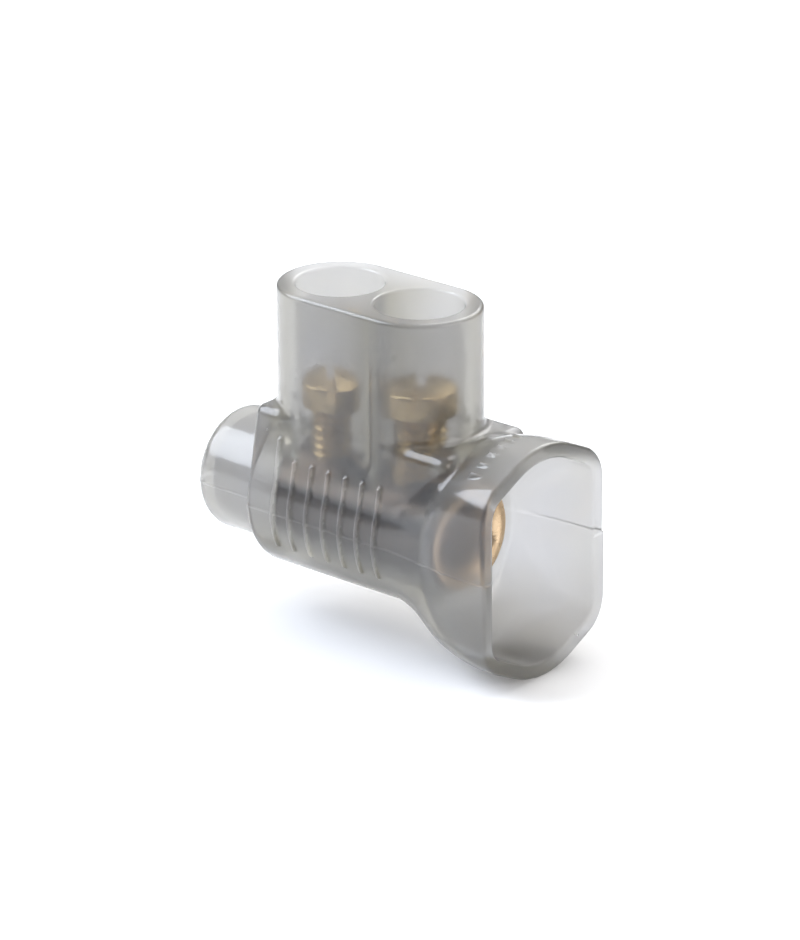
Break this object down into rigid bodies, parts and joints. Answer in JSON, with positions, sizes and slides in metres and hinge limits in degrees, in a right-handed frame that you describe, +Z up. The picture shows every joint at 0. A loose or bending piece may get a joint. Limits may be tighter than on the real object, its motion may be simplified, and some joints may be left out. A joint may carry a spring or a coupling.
{
  "type": "insulated cable tunnel connector",
  "caption": "Translucent insulated cable connector: brass tunnel with a flared cable mouth, closed nose and a turret holding slotted brass clamping screws.",
  "frame": {"origin": "Bottom centre of the whole part's box: Z = 0 is the lowest point of the mouth collar, and the tunnel's axis runs parallel to X at Z = 0.011144, Y = 0.", "axes": "+X runs along the cable tunnel and out of the mouth, +Z up the screw turret, and Y across the part, which is the same on both sides."},
  "size_m": [0.0364, 0.0166, 0.0316],
  "materials": {
    "smoke_plastic": "translucent smoke-grey moulded plastic, glossy outside, with a faint parting line",
    "tunnel_brass": "turned brass, slightly dulled",
    "screw_brass": "bright turned brass"
  },
  "bodies": {
    "connector": {"insulating_body": "smoke_plastic", "brass_tunnel": "tunnel_brass"},
    "rear_travel": {"rear_screw_point": "screw_brass"},
    "rear_screw": {"rear_clamp_screw": "screw_brass"},
    "front_travel": {"front_screw_point": "screw_brass"},
    "front_screw": {"front_clamp_screw": "screw_brass"}
  },
  "joints": [
    {"name": "rear_screw_travel", "type": "slide", "parent": "connector", "child": "rear_travel", "axis": [0, 0, 1], "range_m": [-0.0042, 0.0018]},
    {"name": "rear_screw_turn", "type": "hinge", "parent": "rear_travel", "child": "rear_screw", "pos_m": [-0.0052, 0, 0.02034], "axis": [0, 0, 1], "range_deg": [-1891, 811]},
    {"name": "front_screw_travel", "type": "slide", "parent": "connector", "child": "front_travel", "axis": [0, 0, 1], "range_m": [-0.0056, 0.0004]},
    {"name": "front_screw_turn", "type": "hinge", "parent": "front_travel", "child": "front_screw", "pos_m": [0.00405, 0, 0.02174], "axis": [0, 0, 1], "range_deg": [-2521, 181]}
  ],
  "couplings": [
    {"joint": "rear_screw_turn", "follows": "rear_screw_travel", "rad_per_m": 7854},
    {"joint": "front_screw_turn", "follows": "front_screw_travel", "rad_per_m": 7854}
  ]
}
